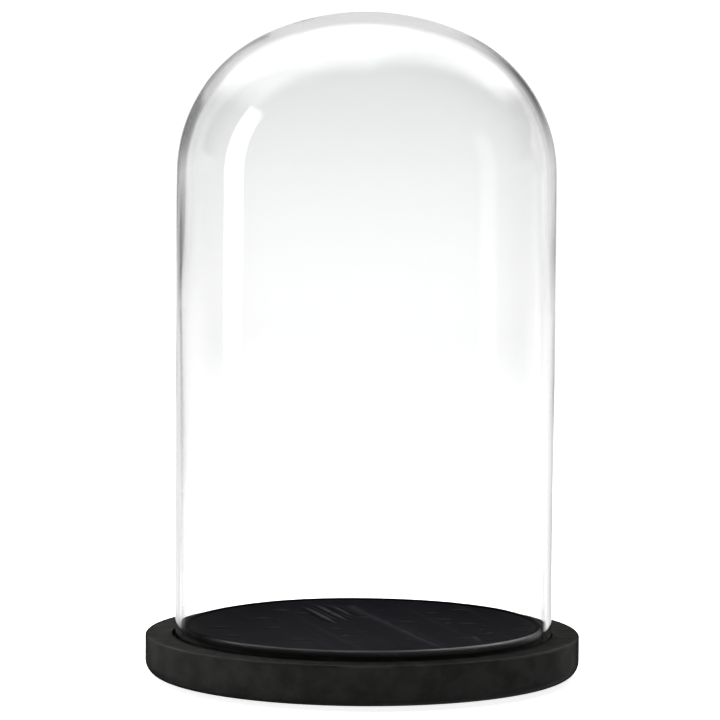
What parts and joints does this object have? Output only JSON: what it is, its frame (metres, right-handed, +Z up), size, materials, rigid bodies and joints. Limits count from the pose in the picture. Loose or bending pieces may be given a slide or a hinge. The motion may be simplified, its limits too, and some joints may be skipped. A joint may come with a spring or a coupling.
{
  "type": "bell jar display dome",
  "caption": "Clear glass bell dome that lifts off a round black-stained wooden base with a raised display plateau and a groove for the rim.",
  "frame": {"origin": "on the dome's axis, in the plane of the felt pads' undersides, which is the surface the base stands on", "axes": "+Z up the axis of the dome and base; the object is round, so +X and +Y are level and -Y is taken as the front"},
  "size_m": [0.203, 0.203, 0.3092],
  "materials": {
    "black_wood": "black stain under a thin satin lacquer, open grain",
    "clear_glass": "clear polished blown glass, fire-rounded rim",
    "felt": "pressed wool felt"
  },
  "bodies": {
    "base": {"base_board": "black_wood", "felt_pad_1": "felt", "felt_pad_2": "felt", "felt_pad_3": "felt", "felt_pad_4": "felt"},
    "dome": {"glass_dome": "clear_glass"}
  },
  "joints": [
    {"name": "dome_lift", "type": "slide", "parent": "base", "child": "dome", "axis": [0, 0, 1], "range_m": [0, 0.3]}
  ]
}
